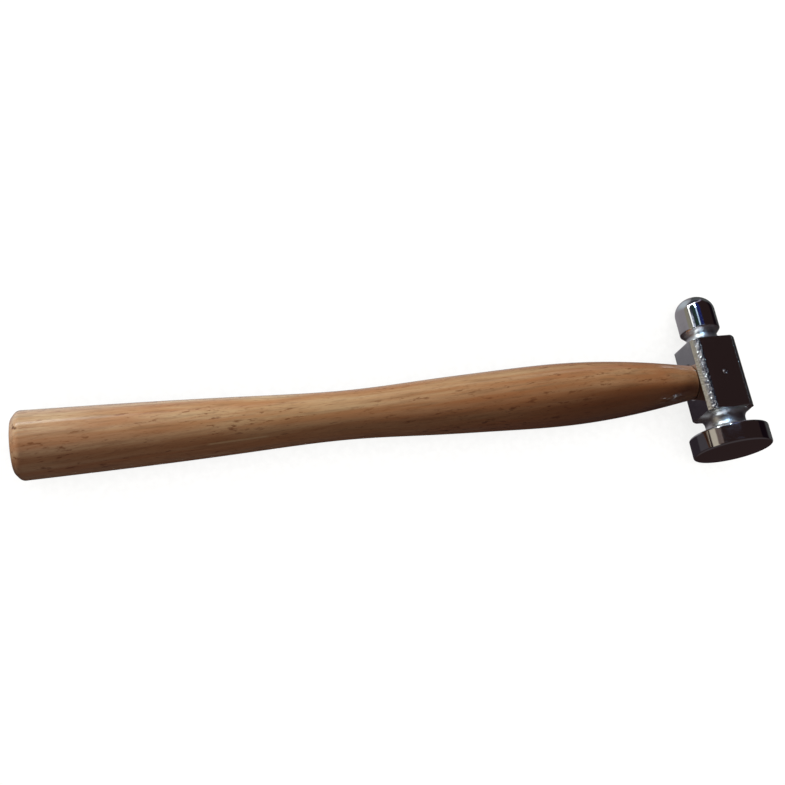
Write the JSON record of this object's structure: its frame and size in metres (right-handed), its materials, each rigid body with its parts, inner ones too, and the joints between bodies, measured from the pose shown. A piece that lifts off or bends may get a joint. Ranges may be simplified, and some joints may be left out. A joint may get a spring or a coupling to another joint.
{
  "type": "ball peen hammer",
  "caption": "Small ball peen hammer with a wide flat round face, a square eye block and a waisted turned wooden handle, for striking punches and shaping sheet metal.",
  "frame": {"origin": "centre of the flat striking face, on the head's axis", "axes": "+Y up the head's axis from the striking face to the ball peen, +X along the handle's axis from the butt towards the head, +Z out of the cheek that lies uppermost when the hammer is laid on its side"},
  "size_m": [0.2575, 0.0604, 0.028],
  "materials": {
    "head_steel": "hand-polished bright steel",
    "handle_wood": "clear lacquered beech",
    "wedge_wood": "sawn flush, oiled",
    "wedge_steel": "ground flush",
    "pin_steel": "peened and polished"
  },
  "bodies": {
    "root": {"hammer_head": "head_steel", "handle": "handle_wood", "wood_wedge": "wedge_wood", "steel_wedge": "wedge_steel", "cross_pin": "pin_steel"}
  },
  "joints": []
}
